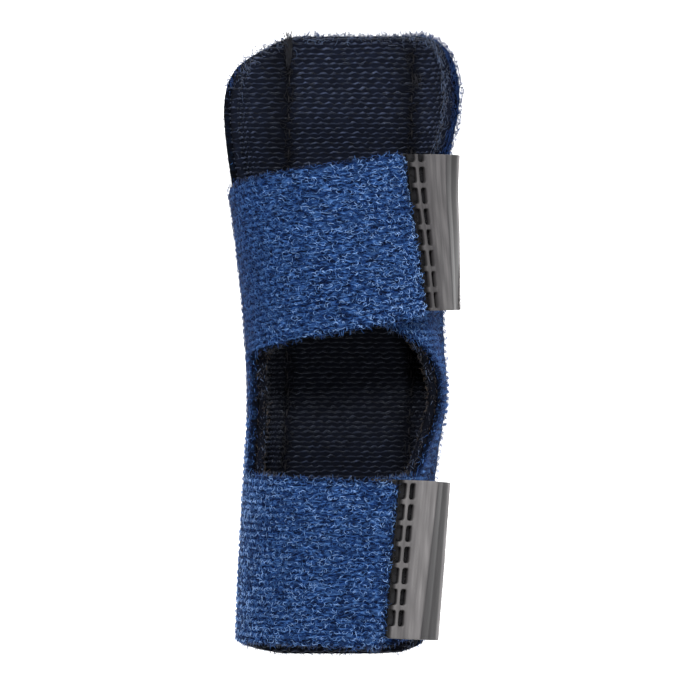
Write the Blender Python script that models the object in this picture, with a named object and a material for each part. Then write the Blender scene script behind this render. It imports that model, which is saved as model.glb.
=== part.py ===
"""Finger splint: a laminate sheet rolled round the finger, closed in front by two straps with moulded pull tabs.

Every piece is cut flat, as the laminate is, and rolled into shape by one function.
On the flat sheet, x runs round the finger from the middle of the palm side, positive towards the tabs,
and y runs along the finger from the base edge. On the rolled splint the palm panel lies flat on z = 0,
+Y points to the fingertip end, +X to the tab side and +Z to the straps. Lengths are in metres.
"""

import math

import bmesh
import bpy
import numpy as np
from mathutils import Vector

MM = 0.001

# Driving sizes
SPLINT_LENGTH = 80.0 * MM
PALM_WIDTH = 16.0 * MM
FLANK_BULGE = 5.5 * MM
TUBE_DEPTH = 18.0 * MM
SIDE_HEIGHT = 7.4 * MM
STRAP_WIDTH = 21.4 * MM
SHELL_THICKNESS = 1.2 * MM
LINING_THICKNESS = 1.0 * MM
LAYER_GAP = 0.3 * MM

# Outline of the flat sheet, measured along the finger from the base edge
LOWER_STRAP_RISE = 2.0 * MM
WINDOW_HEIGHT = 14.7 * MM
WING_BASE_RISE = 1.2 * MM
FLANK_BASE_RISE = 3.0 * MM
WING_SHOULDER = 17.6 * MM
BASE_CORNER_RADIUS = 22.0 * MM
TIP_LEFT_DROP = 6.0 * MM
TIP_LEFT_RADIUS = 9.5 * MM
TIP_RIGHT_RADIUS = 7.5 * MM
WINDOW_CURVE_RADIUS = 6.0 * MM
TUCK_FADE = 12.0 * MM
CUT_CORNER_RADIUS = 1.2 * MM
UPPER_STRAP_ANGLE = math.radians(11.2)
LOWER_STRAP_ANGLE = math.radians(-2.2)
UPPER_END_SLANT = math.radians(2.0)
LOWER_END_SLANT = math.radians(0.0)

# Pull tabs and their hook tape
TAB_LENGTH = 20.4 * MM
TAB_WIDTH = 11.4 * MM
UPPER_TAB_OFFSET = 0.2 * MM
LOWER_TAB_OFFSET = 0.8 * MM
TAB_STANDOFF = 0.25 * MM
TAB_THICKNESS = 0.9 * MM
TAB_LIP_LIFT = 1.0 * MM
UPPER_TAB_SKEW = math.radians(-11.0)
LOWER_TAB_SKEW = math.radians(0.0)
GRID_THICKNESS = 0.7 * MM
GRID_BAR = 0.25 * MM
GRID_RAIL = 0.45 * MM
GRID_FOOT = 0.25 * MM
HOLE_WIDTH = 1.05 * MM
HOLE_HEIGHT = 2.1 * MM
HOLE_PITCH = 2.72 * MM
HOLE_COLUMNS = 2
UPPER_FIRST_HOLE = -1.05 * MM
LOWER_FIRST_HOLE = 0.4 * MM
HOOK_TAPE_WIDTH = 9.5 * MM
HOOK_TAPE_LAP = 3.0 * MM
SEAM_GAP = 0.5 * MM

# Places round the finger, in quarters of the outline: 0 is the middle of the palm side, 1 the edge of the
# flat palm panel, 2 the widest point of a side, 3 the middle of the front. Straps run on past 3.
FLANK_EDGE = 2.0
TIP_EDGE = 1.75
NOTCH_LEFT = 2.2
NOTCH_RIGHT = 2.18
WING_TIP = 2.85
UPPER_STRAP_END = 3.39
LOWER_STRAP_END = 3.29
TUCK_START = 1.4
TUCK_END = 2.15
QUARTERS = 6
CORNER_FULLNESS = 0.13

# Sections along the finger. at is a share of the splint's length; shift, left and right are shares of
# the flank bulge: how far the palm panel sits to the right, and how far each side stands out from it;
# depth and side are shares of the tube's depth and of the height of its widest point.
SECTIONS = (
    # at, shift, left, right, depth, side
    (0.00, -0.24, 1.03, 0.79, 0.97, 0.98),
    (0.14, -0.20, 0.99, 0.90, 0.99, 1.00),
    (0.30, -0.10, 0.96, 0.97, 1.00, 1.00),
    (0.41, -0.03, 0.95, 1.05, 1.00, 1.00),
    (0.53, -0.01, 1.05, 1.06, 1.00, 1.00),
    (0.67, 0.00, 1.27, 1.03, 0.97, 0.98),
    (0.76, 0.00, 1.47, 1.02, 0.92, 0.94),
    (0.82, 0.00, 1.61, 1.10, 0.88, 0.90),
    (0.88, 0.00, 1.68, 1.28, 0.85, 0.84),
    (1.00, 0.00, 1.64, 1.18, 0.80, 0.76),
)

# Tuck of the right side, which makes room below the straps. stretch counts TUCK_MARKS from 0 at the base
# edge: 1 is the window's base, 2 the upper wing's lower edge, 3 its shoulder and 4 where the tuck has
# died out; share is how far the side is drawn in, as a share of the full tuck.
TUCKS = (
    # stretch, share
    (0.00, 1.00),
    (0.50, 1.00),
    (1.00, 1.00),
    (1.50, 0.35),
    (2.00, 1.00),
    (2.60, 1.00),
    (3.00, 1.00),
    (3.42, 0.10),
    (3.83, 0.00),
    (4.00, 0.00),
)

# Profile of a pull tab's flap, from the grid to the free lip. at is a share of the flap's width, lift a
# share of the lip's lift and thick a share of the tab's thickness.
TAB_PROFILE = (
    # at, lift, thick
    (0.00, 0.00, 1.00),
    (0.20, 0.14, 1.00),
    (0.39, 0.44, 1.00),
    (0.65, 0.30, 1.00),
    (0.92, 0.66, 1.00),
    (1.00, 1.00, 0.85),
)

# Mesh fineness
FLANK_STEPS = 6
CROWN_STEPS = 8
LENGTH_STEPS = 16
ARC_STEP = math.radians(18.0)

LAMINATE = SHELL_THICKNESS + LAYER_GAP + LINING_THICKNESS
FULL_TUCK = LAMINATE + LAYER_GAP


# Rolling the flat sheet


def smooth_row(table, places, along):
    """Values of a table whose rows stand at these lengths, on a smooth curve through its rows."""
    slopes = np.gradient(table, places, axis=0)
    row = int(np.clip(np.searchsorted(places, along) - 1, 0, len(places) - 2))
    span = places[row + 1] - places[row]
    t = float(np.clip((along - places[row]) / span, 0.0, 1.0))
    return (
        (1 + 2 * t) * (1 - t) ** 2 * table[row]
        + t * t * (3 - 2 * t) * table[row + 1]
        + t * (1 - t) ** 2 * span * slopes[row]
        + t * t * (t - 1) * span * slopes[row + 1]
    )


def section(along):
    """Shift, left bulge, right bulge, depth, side height and tuck of the section at this length."""
    sections, tucks = np.array(SECTIONS), np.array(TUCKS)
    units = (FLANK_BULGE, FLANK_BULGE, FLANK_BULGE, TUBE_DEPTH, SIDE_HEIGHT)
    sizes = smooth_row(sections[:, 1:], sections[:, 0] * SPLINT_LENGTH, along) * units
    marks = np.interp(tucks[:, 0], range(len(TUCK_MARKS)), TUCK_MARKS)
    share = smooth_row(tucks[:, 1], marks, along)
    return (*sizes, FULL_TUCK * min(max(share, 0.0), 1.0))


def full_corner(angle, across, up):
    """Point and slope of a quarter ellipse drawn out towards its corner, from straight out to straight up."""
    c, s = math.cos(angle), math.sin(angle)
    point = (across * c * (1 + CORNER_FULLNESS * s * s), up * s * (1 + CORNER_FULLNESS * c * c))
    slope = (
        across * (-s * (1 + CORNER_FULLNESS * s * s) + 2 * CORNER_FULLNESS * s * c * c),
        up * (c * (1 + CORNER_FULLNESS * c * c) - 2 * CORNER_FULLNESS * s * s * c),
    )
    return point, slope


def outline_point(turn, along):
    """Point (x, z) on the section's outer line, and the unit normal that points out of the tube."""
    shift, left, right, depth, side, tuck = section(along)
    wrapped = turn + QUARTERS if turn < -QUARTERS / 2 else turn
    hand = 1.0 if wrapped >= 0 else -1.0
    quarter = abs(wrapped)
    bulge = right if hand > 0 else left
    half_palm = PALM_WIDTH / 2
    if quarter <= 1:
        x, z, dx, dz = half_palm * quarter, 0.0, 1.0, 0.0
    elif quarter <= 2:
        # The lower quarter is the same curve turned over: it starts level and ends upright.
        (a, b), (da, db) = full_corner((2 - quarter) * math.pi / 2, bulge, side)
        x, z, dx, dz = half_palm + a, side - b, -da, db
    else:
        (a, b), (da, db) = full_corner((quarter - 2) * math.pi / 2, half_palm + bulge, depth - side)
        x, z, dx, dz = a, side + b, da, db
    length = math.hypot(dx, dz)
    normal = (hand * dz / length, -dx / length)
    sink = 0.0
    if turn > 0:
        share = min(max((turn - TUCK_START) / (TUCK_END - TUCK_START), 0.0), 1.0)
        sink = tuck * share * share * (3 - 2 * share)
    point = (shift + hand * x - sink * normal[0], z - sink * normal[1])
    return point, normal


def arc_lengths():
    """Length round the nominal section from the middle of the palm side to the end of each quarter."""
    steps = 90
    lengths = [0.0, PALM_WIDTH / 2]
    sizes = (
        (FLANK_BULGE, SIDE_HEIGHT),
        (PALM_WIDTH / 2 + FLANK_BULGE, TUBE_DEPTH - SIDE_HEIGHT),
    )
    for across, up in sizes:
        points = [full_corner(i * math.pi / 2 / steps, across, up)[0] for i in range(steps + 1)]
        lengths.append(lengths[-1] + sum(math.dist(p, q) for p, q in zip(points, points[1:])))
    lengths.append(2 * lengths[3] - lengths[2])
    return lengths


ARC_MARKS = arc_lengths()


def arc(turn):
    """Distance round the flat sheet of a place that is given in quarters."""
    return math.copysign(np.interp(abs(turn), range(len(ARC_MARKS)), ARC_MARKS), turn)


def turn_of(around):
    return math.copysign(np.interp(abs(around), ARC_MARKS, range(len(ARC_MARKS))), around)


def roll(around, along, out):
    """Place on the rolled splint of a point of the flat sheet, out metres outside the shell's surface."""
    (x, z), (nx, nz) = outline_point(turn_of(around), along)
    return Vector((x + out * nx, along - SPLINT_LENGTH / 2, z + out * nz))


# Laying out the flat pattern


class Strap:
    """A straight strap on the flat sheet: it leaves the left side at root and rises at an angle to its end.

    slant turns the end's cut, offset moves the tab along it, and skew is how far the tab stands askew.
    """

    def __init__(self, root, angle, end, slant, offset, skew):
        self.reach = Vector((-math.cos(angle), math.sin(angle)))
        self.across = Vector((math.sin(angle), math.cos(angle)))
        self.slant = math.tan(slant)
        self.offset = offset
        self.drift = math.tan(skew)
        self.width = STRAP_WIDTH
        start = Vector((-arc(FLANK_EDGE), root + self.width / 2 / math.cos(angle)))
        run = (arc(end) - arc(FLANK_EDGE)) / math.cos(angle)
        self.end = start + self.reach * run

    def corner(self, side, back=0.0):
        """End corner on the fingertip side (1) or the base side (-1), back from the end by some length."""
        out = side * self.width / 2
        return self.end + self.across * out + self.reach * (out * self.slant - back)

    def edge(self, side, around):
        """Length along the finger at which an edge of the strap passes this distance round the sheet."""
        corner = self.corner(side)
        return corner.y + (around - corner.x) * self.reach.y / self.reach.x

    def place(self, beyond, across):
        """Point of the flat sheet this far beyond the strap's end and along the tab, which may stand askew.

        The tab follows the end's slant at its grid and is square to the strap at its lip.
        """
        along = self.offset + across + self.drift * max(beyond, 0.0)
        slant = self.slant * min(1.0, 1.0 - beyond / TAB_WIDTH)
        return self.end + self.reach * (beyond + along * slant) + self.across * along


LOWER_STRAP = Strap(
    LOWER_STRAP_RISE, LOWER_STRAP_ANGLE, LOWER_STRAP_END, LOWER_END_SLANT, LOWER_TAB_OFFSET, LOWER_TAB_SKEW
)
WINDOW_BASE = LOWER_STRAP.edge(1, -arc(NOTCH_LEFT))
UPPER_STRAP = Strap(
    WINDOW_BASE + WINDOW_HEIGHT,
    UPPER_STRAP_ANGLE,
    UPPER_STRAP_END,
    UPPER_END_SLANT,
    UPPER_TAB_OFFSET,
    UPPER_TAB_SKEW,
)
WINDOW_TOP = UPPER_STRAP.edge(-1, -arc(FLANK_EDGE))
WING_SPLIT = WINDOW_TOP + WINDOW_CURVE_RADIUS * 0.85
WING_TOP = WING_SPLIT + WING_SHOULDER
TUCK_MARKS = (0.0, WINDOW_BASE, WING_SPLIT, WING_TOP, WING_TOP + TUCK_FADE)


def sheet_corners(strap_cut):
    """Corners of the flat sheet, counter-clockwise, each with its rounding radius.

    strap_cut shortens both straps, as the lining's are to make room for the hook tape.
    """
    left_notch = -arc(NOTCH_LEFT)
    right_notch = arc(NOTCH_RIGHT)
    flank = arc(FLANK_EDGE)
    tip_flank = arc(TIP_EDGE)
    wing = arc(WING_TIP)
    return (
        (-flank, LOWER_STRAP.edge(-1, -flank), BASE_CORNER_RADIUS),
        (-PALM_WIDTH / 2, 0.0, BASE_CORNER_RADIUS),
        (PALM_WIDTH / 2, 0.0, BASE_CORNER_RADIUS),
        (flank, FLANK_BASE_RISE, BASE_CORNER_RADIUS),
        (wing, WING_BASE_RISE / 2, CUT_CORNER_RADIUS),
        (wing, WINDOW_BASE - WING_BASE_RISE / 2, CUT_CORNER_RADIUS),
        (right_notch, WINDOW_BASE, WINDOW_CURVE_RADIUS * 0.6),
        (right_notch, WINDOW_TOP, WINDOW_CURVE_RADIUS),
        (wing, WING_SPLIT, CUT_CORNER_RADIUS),
        (wing, WING_TOP, CUT_CORNER_RADIUS),
        (tip_flank, WING_TOP, CUT_CORNER_RADIUS),
        (tip_flank, SPLINT_LENGTH, TIP_RIGHT_RADIUS),
        (-PALM_WIDTH / 2, SPLINT_LENGTH, TIP_LEFT_RADIUS / 2),
        (-tip_flank, SPLINT_LENGTH - TIP_LEFT_DROP, TIP_LEFT_RADIUS),
        (-tip_flank, UPPER_STRAP.edge(1, -tip_flank), CUT_CORNER_RADIUS),
        (*UPPER_STRAP.corner(1, strap_cut), CUT_CORNER_RADIUS),
        (*UPPER_STRAP.corner(-1, strap_cut), CUT_CORNER_RADIUS),
        (left_notch, UPPER_STRAP.edge(-1, left_notch), CUT_CORNER_RADIUS),
        (left_notch, WINDOW_BASE, CUT_CORNER_RADIUS),
        (*LOWER_STRAP.corner(1, strap_cut), CUT_CORNER_RADIUS),
        (*LOWER_STRAP.corner(-1, strap_cut), CUT_CORNER_RADIUS),
    )


def rounded(corners):
    """Outline points: each corner is replaced by an arc of its radius, cut short where a side is short."""
    points = []
    count = len(corners)
    for i, (x, y, radius) in enumerate(corners):
        here = Vector((x, y))
        before = Vector(corners[i - 1][:2]) - here
        after = Vector(corners[(i + 1) % count][:2]) - here
        half = before.angle(after) / 2
        room = 0.48 * min(before.length, after.length)
        cut = min(radius / math.tan(half), room)
        radius = cut * math.tan(half)
        middle = here + (before.normalized() + after.normalized()).normalized() * radius / math.sin(half)
        start = here + before.normalized() * cut - middle
        sweep = start.angle_signed(here + after.normalized() * cut - middle)
        steps = max(1, math.ceil(abs(sweep) / ARC_STEP))
        for k in range(steps + 1):
            turn = -sweep * k / steps
            c, s = math.cos(turn), math.sin(turn)
            points.append(middle + Vector((c * start.x - s * start.y, s * start.x + c * start.y)))
    return points


# Making solids


def new_object(name, bm, collection, material=None):
    mesh = bpy.data.meshes.new(name)
    bm.to_mesh(mesh)
    bm.free()
    obj = bpy.data.objects.new(name, mesh)
    collection.objects.link(obj)
    if material:
        mesh.materials.append(material)
    return obj


def slab(name, xs, ys, collection, material=None):
    """Flat slab of unit height with an edge at each of these lines, so that it can bend there."""
    bm = bmesh.new()
    bmesh.ops.create_grid(bm, x_segments=len(xs) - 1, y_segments=len(ys) - 1, size=0.5)
    for vert in bm.verts:
        column = round((vert.co.x + 0.5) * (len(xs) - 1))
        row = round((vert.co.y + 0.5) * (len(ys) - 1))
        vert.co = (xs[column], ys[row], 0.0)
    lifted = bmesh.ops.extrude_face_region(bm, geom=bm.faces[:] + bm.edges[:])
    for item in lifted["geom"]:
        if isinstance(item, bmesh.types.BMVert):
            item.co.z = 1.0
    bmesh.ops.recalc_face_normals(bm, faces=bm.faces)
    return new_object(name, bm, collection, material)


def prism(name, points, collection):
    """Upright prism through and beyond a slab: a filled flat curve on this outline, made a mesh."""
    curve = bpy.data.curves.new(name, "CURVE")
    curve.dimensions = "2D"
    curve.fill_mode = "BOTH"
    curve.extrude = 1.5
    spline = curve.splines.new("POLY")
    spline.points.add(len(points) - 1)
    for place, point in zip(spline.points, points):
        place.co = (point.x, point.y, 0.0, 1.0)
    spline.use_cyclic_u = True
    drawn = bpy.data.objects.new(name + "_curve", curve)
    collection.objects.link(drawn)
    graph = bpy.context.evaluated_depsgraph_get()
    bm = bmesh.new()
    bm.from_mesh(bpy.data.meshes.new_from_object(drawn.evaluated_get(graph)))
    bpy.data.objects.remove(drawn)
    bmesh.ops.remove_doubles(bm, verts=bm.verts, dist=1e-6)
    bmesh.ops.translate(bm, vec=(0.0, 0.0, 0.5), verts=bm.verts)
    bmesh.ops.recalc_face_normals(bm, faces=bm.faces)
    return hide(new_object(name, bm, collection))


def hide(obj):
    obj.hide_render = True
    obj.display_type = "WIRE"
    return obj


def cut(obj, cutter, operation):
    """Applies one Boolean to obj's mesh."""
    modifier = obj.modifiers.new(cutter.name, "BOOLEAN")
    modifier.operation = operation
    modifier.object = cutter
    graph = bpy.context.evaluated_depsgraph_get()
    mesh = bpy.data.meshes.new_from_object(obj.evaluated_get(graph))
    obj.modifiers.clear()
    obj.data = mesh


def bend(obj, mapping):
    """Moves each point of a flat solid to its place, and faces the surface outwards again."""
    bm = bmesh.new()
    bm.from_mesh(obj.data)
    bmesh.ops.remove_doubles(bm, verts=bm.verts, dist=1e-6)
    bmesh.ops.dissolve_degenerate(bm, edges=bm.edges, dist=1e-6)
    for vert in bm.verts:
        vert.co = mapping(vert.co)
    bmesh.ops.triangulate(bm, faces=bm.faces)
    bmesh.ops.recalc_face_normals(bm, faces=bm.faces)
    bm.to_mesh(obj.data)
    bm.free()
    obj.data.shade_smooth()
    obj.data.set_sharp_from_angle(angle=math.radians(40))


def material(name, colour, roughness, metallic=0.0):
    made = bpy.data.materials.new(name)
    made.use_nodes = True
    surface = made.node_tree.nodes["Principled BSDF"]
    surface.inputs["Base Color"].default_value = (*colour, 1.0)
    surface.inputs["Roughness"].default_value = roughness
    surface.inputs["Metallic"].default_value = metallic
    return made


# The pieces


def bend_lines():
    """Distances round the sheet at which it can bend: the flat palm panel has none of its own."""
    right = [0.0, 1.0]
    right += [1 + i / FLANK_STEPS for i in range(1, FLANK_STEPS + 1)]
    right += [2 + i / CROWN_STEPS for i in range(1, CROWN_STEPS + 1)]
    left = [-t for t in reversed(right[1:])]
    beyond = [-(3 + i / CROWN_STEPS) for i in range(CROWN_STEPS // 2, 0, -1)]
    return [arc(turn) for turn in beyond + left + right]


def laminate_layer(name, strap_cut, outer, thickness, parts, cutters, look):
    """One layer of the sheet, cut to the outline and rolled, its outer face at this depth."""
    lengths = [SPLINT_LENGTH * i / LENGTH_STEPS for i in range(LENGTH_STEPS + 1)]
    lengths[0] -= STRAP_WIDTH
    lengths[-1] += STRAP_WIDTH
    layer = slab(name, bend_lines(), lengths, parts, look)
    outline = prism(name + "_outline", rounded(sheet_corners(strap_cut)), cutters)
    cut(layer, outline, "INTERSECT")
    bend(layer, lambda p: roll(p.x, p.y, outer - (1 - p.z) * thickness))
    return layer


def hook_tape(name, strap, parts, look):
    """Strip of hook tape: its inner edge is held between the strap's shell and the wing below it."""
    steps = 8
    xs = [-HOOK_TAPE_LAP + HOOK_TAPE_WIDTH * i / steps for i in range(steps + 1)]
    ys = [TAB_LENGTH * (i / steps - 0.5) for i in range(steps + 1)]
    tape = slab(name, xs, ys, parts, look)
    outer = -SHELL_THICKNESS - LAYER_GAP

    def mapping(p):
        flat = strap.place(p.x, p.y)
        return roll(flat.x, flat.y, outer - (1 - p.z) * LINING_THICKNESS)

    bend(tape, mapping)
    return tape


def hole_cutters(name, first, cutters):
    """Rounded bars that cut the grid's holes, two columns of them, from the fingertip end down."""
    bm = bmesh.new()
    top = TAB_LENGTH / 2 - first
    while top - HOLE_HEIGHT > -TAB_LENGTH / 2 + GRID_FOOT:
        for column in range(HOLE_COLUMNS):
            left = TAB_STANDOFF + GRID_BAR + column * (HOLE_WIDTH + GRID_RAIL)
            made = bmesh.ops.create_cube(bm, size=1.0)["verts"]
            bmesh.ops.scale(bm, vec=(HOLE_WIDTH, HOLE_HEIGHT, 3.0), verts=made)
            middle = (left + HOLE_WIDTH / 2, top - HOLE_HEIGHT / 2, 0.5)
            bmesh.ops.translate(bm, vec=middle, verts=made)
            upright = {e for v in made for e in v.link_edges if abs(e.verts[0].co.z - e.verts[1].co.z) > 1}
            bmesh.ops.bevel(bm, geom=list(upright), offset=HOLE_WIDTH / 4, segments=2, affect="EDGES", profile=0.5)
        top -= HOLE_PITCH
    return hide(new_object(name, bm, cutters))


def pull_tab(name, strap, first_hole, parts, cutters, look):
    """Moulded tab: a grid bonded on the hook tape next to the strap's end, and a smooth flap with a lip."""
    holes_end = TAB_STANDOFF + GRID_BAR + HOLE_COLUMNS * (HOLE_WIDTH + GRID_RAIL) - GRID_RAIL
    shoulder = holes_end + GRID_RAIL
    profile = np.array(TAB_PROFILE)
    grid_steps, flap_steps = 4, 7
    xs = [TAB_STANDOFF + (holes_end - TAB_STANDOFF) * i / grid_steps for i in range(grid_steps + 1)]
    xs += [shoulder + (TAB_WIDTH - shoulder) * i / flap_steps for i in range(flap_steps + 1)]
    ys = [TAB_LENGTH * (i / 6 - 0.5) for i in range(7)]
    tab = slab(name, xs, ys, parts, look)
    cut(tab, hole_cutters(name + "_holes", first_hole, cutters), "DIFFERENCE")

    def mapping(p):
        share = (p.x - shoulder) / (TAB_WIDTH - shoulder)
        lift = TAB_LIP_LIFT * np.interp(share, profile[:, 0], profile[:, 1])
        flap = TAB_THICKNESS * np.interp(share, profile[:, 0], profile[:, 2])
        rise = min(max((p.x - holes_end) / (shoulder - holes_end), 0.0), 1.0)
        thick = GRID_THICKNESS + (flap - GRID_THICKNESS) * rise
        flat = strap.place(p.x, p.y)
        return roll(flat.x, flat.y, -SHELL_THICKNESS + lift + p.z * thick)

    bend(tab, mapping)
    return tab


def build():
    for obj in list(bpy.data.objects):
        bpy.data.objects.remove(obj)
    parts = bpy.data.collections.new("finger_splint")
    cutters = bpy.data.collections.new("cutters")
    for collection in (parts, cutters):
        bpy.context.scene.collection.children.link(collection)

    blue_loop = material("blue_loop_pile", (0.045, 0.115, 0.330), 0.95)
    navy_knit = material("navy_knit", (0.012, 0.018, 0.040), 0.9)
    black_hook = material("black_hook_tape", (0.010, 0.010, 0.012), 0.7)
    grey_plastic = material("grey_moulded_plastic", (0.17, 0.165, 0.165), 0.32)

    laminate_layer("shell", 0.0, 0.0, SHELL_THICKNESS, parts, cutters, blue_loop)
    laminate_layer(
        "lining",
        HOOK_TAPE_LAP + SEAM_GAP,
        -SHELL_THICKNESS - LAYER_GAP,
        LINING_THICKNESS,
        parts,
        cutters,
        navy_knit,
    )
    straps = (
        ("upper", UPPER_STRAP, UPPER_FIRST_HOLE),
        ("lower", LOWER_STRAP, LOWER_FIRST_HOLE),
    )
    for place, strap, first_hole in straps:
        hook_tape(place + "_hook_tape", strap, parts, black_hook)
        pull_tab(place + "_pull_tab", strap, first_hole, parts, cutters, grey_plastic)


build()
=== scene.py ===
"""Finger splint, dressed: loop pile, ribbed lining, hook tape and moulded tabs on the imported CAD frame.

Flat pieces are laid out on the sheet they are cut from and rolled by the same section table as the CAD.
On the sheet, s runs round the finger from the middle of the palm side, positive towards the tabs, and
v along the finger from the base edge. Lengths are in millimetres until new_mesh() makes them metres.
"""

import math

import bpy
import numpy as np
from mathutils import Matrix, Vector
from mathutils.geometry import delaunay_2d_cdt


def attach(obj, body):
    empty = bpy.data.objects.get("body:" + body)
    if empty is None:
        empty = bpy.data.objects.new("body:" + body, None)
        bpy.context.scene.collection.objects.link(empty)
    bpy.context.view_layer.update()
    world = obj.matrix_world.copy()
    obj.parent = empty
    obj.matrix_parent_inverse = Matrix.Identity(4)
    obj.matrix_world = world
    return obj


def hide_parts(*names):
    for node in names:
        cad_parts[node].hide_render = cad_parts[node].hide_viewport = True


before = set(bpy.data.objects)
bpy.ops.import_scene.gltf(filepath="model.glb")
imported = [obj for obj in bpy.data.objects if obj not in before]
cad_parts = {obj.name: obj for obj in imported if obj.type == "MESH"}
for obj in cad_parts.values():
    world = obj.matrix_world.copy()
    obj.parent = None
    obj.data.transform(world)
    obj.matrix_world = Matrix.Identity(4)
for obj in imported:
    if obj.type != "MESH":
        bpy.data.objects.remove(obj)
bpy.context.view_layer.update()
rng = np.random.default_rng(11)
TURN = 2 * math.pi

# The CAD's sizes, in millimetres

SPLINT_LENGTH = 80.0
PALM_WIDTH = 16.0
FLANK_BULGE = 5.5
TUBE_DEPTH = 18.0
SIDE_HEIGHT = 7.4
STRAP_WIDTH = 21.4
SHELL_THICKNESS = 1.2
LINING_THICKNESS = 1.0
LAYER_GAP = 0.3
LOWER_STRAP_RISE = 2.0
WINDOW_HEIGHT = 14.7
WING_BASE_RISE = 1.2
FLANK_BASE_RISE = 3.0
WING_SHOULDER = 17.6
BASE_CORNER_RADIUS = 22.0
TIP_LEFT_DROP = 6.0
TIP_LEFT_RADIUS = 9.5
TIP_RIGHT_RADIUS = 7.5
WINDOW_CURVE_RADIUS = 6.0
TUCK_FADE = 12.0
CUT_CORNER_RADIUS = 1.2
UPPER_STRAP_ANGLE = math.radians(11.2)
LOWER_STRAP_ANGLE = math.radians(-2.2)
UPPER_END_SLANT = math.radians(2.0)
LOWER_END_SLANT = 0.0
TAB_LENGTH = 20.4
TAB_WIDTH = 11.4
UPPER_TAB_OFFSET = 0.2
LOWER_TAB_OFFSET = 0.8
TAB_STANDOFF = 0.25
TAB_THICKNESS = 0.9
TAB_LIP_LIFT = 1.0
UPPER_TAB_SKEW = math.radians(-11.0)
LOWER_TAB_SKEW = 0.0
GRID_THICKNESS = 0.7
GRID_BAR = 0.25
GRID_RAIL = 0.45
GRID_FOOT = 0.25
HOLE_WIDTH = 1.05
HOLE_HEIGHT = 2.1
HOLE_PITCH = 2.72
HOLE_COLUMNS = 2
UPPER_FIRST_HOLE = -1.05
LOWER_FIRST_HOLE = 0.4
HOOK_TAPE_WIDTH = 9.5
HOOK_TAPE_LAP = 3.0
SEAM_GAP = 0.5
FLANK_EDGE = 2.0
TIP_EDGE = 1.75
NOTCH_LEFT = 2.2
NOTCH_RIGHT = 2.18
WING_TIP = 2.85
UPPER_STRAP_END = 3.39
LOWER_STRAP_END = 3.29
TUCK_START = 1.4
TUCK_END = 2.15
CORNER_FULLNESS = 0.13
HALF_PALM = PALM_WIDTH / 2
FULL_TUCK = SHELL_THICKNESS + LINING_THICKNESS + 2 * LAYER_GAP

SECTIONS = np.array([
    # at, shift, left, right, depth, side
    (0.00, -0.24, 1.03, 0.79, 0.97, 0.98),
    (0.14, -0.20, 0.99, 0.90, 0.99, 1.00),
    (0.30, -0.10, 0.96, 0.97, 1.00, 1.00),
    (0.41, -0.03, 0.95, 1.05, 1.00, 1.00),
    (0.53, -0.01, 1.05, 1.06, 1.00, 1.00),
    (0.67, 0.00, 1.27, 1.03, 0.97, 0.98),
    (0.76, 0.00, 1.47, 1.02, 0.92, 0.94),
    (0.82, 0.00, 1.61, 1.10, 0.88, 0.90),
    (0.88, 0.00, 1.68, 1.28, 0.85, 0.84),
    (1.00, 0.00, 1.64, 1.18, 0.80, 0.76),
])
TUCKS = np.array([
    # stretch, share
    (0.00, 1.00),
    (0.50, 1.00),
    (1.00, 1.00),
    (1.50, 0.35),
    (2.00, 1.00),
    (2.60, 1.00),
    (3.00, 1.00),
    (3.42, 0.10),
    (3.83, 0.00),
    (4.00, 0.00),
])
TAB_PROFILE = np.array([
    # at, lift, thick
    (0.00, 0.00, 1.00),
    (0.20, 0.14, 1.00),
    (0.39, 0.44, 1.00),
    (0.65, 0.30, 1.00),
    (0.92, 0.66, 1.00),
    (1.00, 1.00, 0.85),
])


# Rolling the flat sheet


def ease(x):
    """Smooth step from 0 to 1 as x goes from 0 to 1."""
    x = np.clip(x, 0.0, 1.0)
    return x * x * (3 - 2 * x)


def smooth_rows(table, places, along):
    """Values of a table whose rows stand at these lengths, on a smooth curve through its rows."""
    slopes = np.gradient(table, places, axis=0)
    row = np.clip(np.searchsorted(places, along) - 1, 0, len(places) - 2)
    span = (places[row + 1] - places[row])[:, None]
    t = np.clip((along - places[row])[:, None] / span, 0.0, 1.0)
    return (
        (1 + 2 * t) * (1 - t) ** 2 * table[row]
        + t * t * (3 - 2 * t) * table[row + 1]
        + t * (1 - t) ** 2 * span * slopes[row]
        + t * t * (t - 1) * span * slopes[row + 1]
    )


def full_corner(angle, across, up):
    """Point and slope of a quarter ellipse drawn out towards its corner, from straight out to straight up."""
    c, s, f = np.cos(angle), np.sin(angle), CORNER_FULLNESS
    return (
        across * c * (1 + f * s * s),
        up * s * (1 + f * c * c),
        across * (-s * (1 + f * s * s) + 2 * f * s * c * c),
        up * (c * (1 + f * c * c) - 2 * f * s * s * c),
    )


def arc_lengths():
    """Length round the nominal section from the middle of the palm side to the end of each quarter."""
    lengths = [0.0, HALF_PALM]
    angles = np.linspace(0, math.pi / 2, 91)
    for across, up in (
        (FLANK_BULGE, SIDE_HEIGHT),
        (HALF_PALM + FLANK_BULGE, TUBE_DEPTH - SIDE_HEIGHT),
    ):
        x, y, _, _ = full_corner(angles, across, up)
        lengths.append(lengths[-1] + float(np.hypot(np.diff(x), np.diff(y)).sum()))
    lengths.append(2 * lengths[3] - lengths[2])
    return np.array(lengths)


ARC_MARKS = arc_lengths()


def arc(turn):
    return math.copysign(np.interp(abs(turn), range(5), ARC_MARKS), turn)


def turn_of(around):
    return np.copysign(np.interp(np.abs(around), ARC_MARKS, range(5)), around)


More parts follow.
